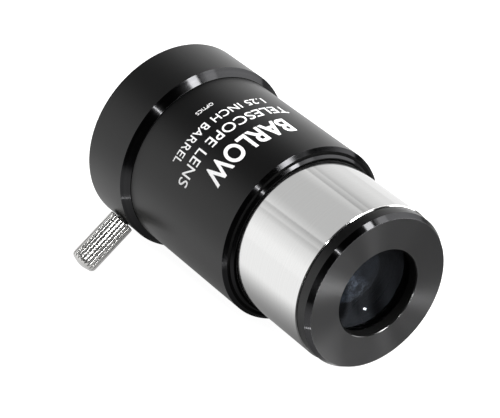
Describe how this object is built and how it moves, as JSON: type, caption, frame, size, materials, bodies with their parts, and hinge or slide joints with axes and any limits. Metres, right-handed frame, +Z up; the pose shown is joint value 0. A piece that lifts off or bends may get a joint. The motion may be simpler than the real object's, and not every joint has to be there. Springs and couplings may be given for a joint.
{
  "type": "barlow lens",
  "caption": "Short barrel barlow lens with a clamping collar and thumbscrew, a slimmer chromed nosepiece, and a screw-in cell that holds a cemented diverging lens.",
  "frame": {"origin": "on the surface that the lens lies on, under the middle of its bounding box", "axes": "+X along the optical axis towards the nosepiece's lens, +Z up, the thumbscrew on the -Y side, pointing down"},
  "size_m": [0.0662, 0.0461, 0.0386],
  "materials": {
    "satin_black": "satin black anodised, fine turned grain",
    "gloss_black": "gloss black anodised, diamond turned",
    "turned_black": "satin black anodised with a faced front",
    "matte_black": "matte black, against glare",
    "chrome": "polished chrome plate",
    "nickel": "bright nickel plate over a fluted grip",
    "steel": "plain threaded rod",
    "crown_glass": "coated optical glass",
    "flint_glass": "coated optical glass",
    "white_ink": "pad-printed ink"
  },
  "bodies": {
    "tube": {"eyepiece_collar": "satin_black", "body_tube": "satin_black", "end_ring": "gloss_black", "nosepiece": "chrome"},
    "lens_pair": {"crown_element": "crown_glass", "flint_element": "flint_glass"},
    "cell": {"lens_cell": "turned_black", "lens_retaining_ring": "matte_black"},
    "screw_stud": {"thumbscrew_stud": "steel"},
    "screw_head": {"thumbscrew_head": "nickel"}
  },
  "joints": [
    {"name": "thumbscrew_travel", "type": "slide", "parent": "tube", "child": "screw_stud", "axis": [0, -0.829, -0.5592], "range_m": [0, 0.0035]},
    {"name": "thumbscrew_turn", "type": "hinge", "parent": "screw_stud", "child": "screw_head", "pos_m": [-0.0263, 0.00375, 0.0193], "axis": [0, -0.829, -0.5592], "range_deg": [0, 2520]},
    {"name": "cell_travel", "type": "slide", "parent": "tube", "child": "lens_pair", "axis": [1, 0, 0], "range_m": [0, 0.0054]},
    {"name": "cell_turn", "type": "hinge", "parent": "lens_pair", "child": "cell", "pos_m": [0.0284, 0.00375, 0.0193], "axis": [1, 0, 0], "range_deg": [0, 3240]}
  ],
  "couplings": [
    {"joint": "thumbscrew_turn", "follows": "thumbscrew_travel", "rad_per_m": 12566},
    {"joint": "cell_turn", "follows": "cell_travel", "rad_per_m": 10472}
  ]
}
